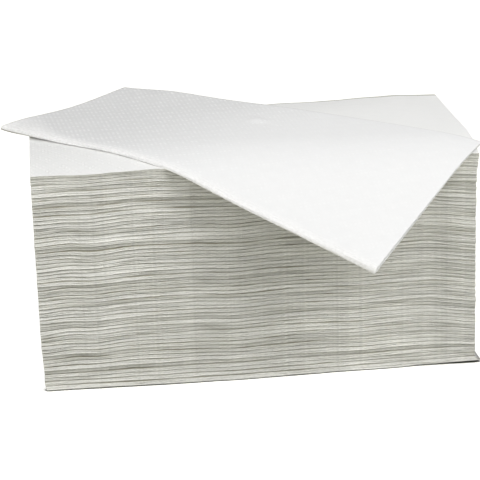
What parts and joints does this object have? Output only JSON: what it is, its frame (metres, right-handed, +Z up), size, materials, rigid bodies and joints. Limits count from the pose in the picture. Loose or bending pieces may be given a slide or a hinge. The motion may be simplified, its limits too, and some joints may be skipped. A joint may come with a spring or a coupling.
{
  "type": "paper hand towel stack",
  "caption": "Stack of single-fold paper hand towels, interfolded front to back, with one folded towel lying askew on top and drooping over the front edge.",
  "frame": {"origin": "middle of the stack's footprint, on the surface that it stands on", "axes": "+X along the folds, -Y towards the front, where the loose towel droops, +Z up through the stack"},
  "size_m": [0.26, 0.2333, 0.1253],
  "materials": {
    "towel_paper": "matt, soft, micro-embossed tissue"
  },
  "bodies": {
    "root": {"loose_towel": "towel_paper", "top_towel": "towel_paper", "towel_pair_01": "towel_paper", "towel_pair_02": "towel_paper", "towel_pair_03": "towel_paper", "towel_pair_04": "towel_paper", "towel_pair_05": "towel_paper", "towel_pair_06": "towel_paper", "towel_pair_07": "towel_paper", "towel_pair_08": "towel_paper", "towel_pair_09": "towel_paper", "towel_pair_10": "towel_paper", "towel_pair_11": "towel_paper", "towel_pair_12": "towel_paper", "towel_pair_13": "towel_paper", "towel_pair_14": "towel_paper", "towel_pair_15": "towel_paper", "towel_pair_16": "towel_paper", "towel_pair_17": "towel_paper", "towel_pair_18": "towel_paper", "towel_pair_19": "towel_paper", "towel_pair_20": "towel_paper", "towel_pair_21": "towel_paper", "towel_pair_22": "towel_paper", "towel_pair_23": "towel_paper", "towel_pair_24": "towel_paper", "towel_pair_25": "towel_paper", "towel_pair_26": "towel_paper", "towel_pair_27": "towel_paper", "towel_pair_28": "towel_paper", "towel_pair_29": "towel_paper", "towel_pair_30": "towel_paper", "towel_pair_31": "towel_paper", "towel_pair_32": "towel_paper", "towel_pair_33": "towel_paper", "towel_pair_34": "towel_paper", "towel_pair_35": "towel_paper", "towel_pair_36": "towel_paper", "towel_pair_37": "towel_paper", "towel_pair_38": "towel_paper", "towel_pair_39": "towel_paper", "towel_pair_40": "towel_paper", "towel_pair_41": "towel_paper", "towel_pair_42": "towel_paper", "towel_pair_43": "towel_paper", "towel_pair_44": "towel_paper", "towel_pair_45": "towel_paper", "towel_pair_46": "towel_paper", "towel_pair_47": "towel_paper", "towel_pair_48": "towel_paper", "towel_pair_49": "towel_paper", "towel_pair_50": "towel_paper", "towel_pair_51": "towel_paper", "towel_pair_52": "towel_paper", "towel_pair_53": "towel_paper", "towel_pair_54": "towel_paper", "towel_pair_55": "towel_paper", "towel_pair_56": "towel_paper", "towel_pair_57": "towel_paper", "bottom_towel": "towel_paper"}
  },
  "joints": []
}
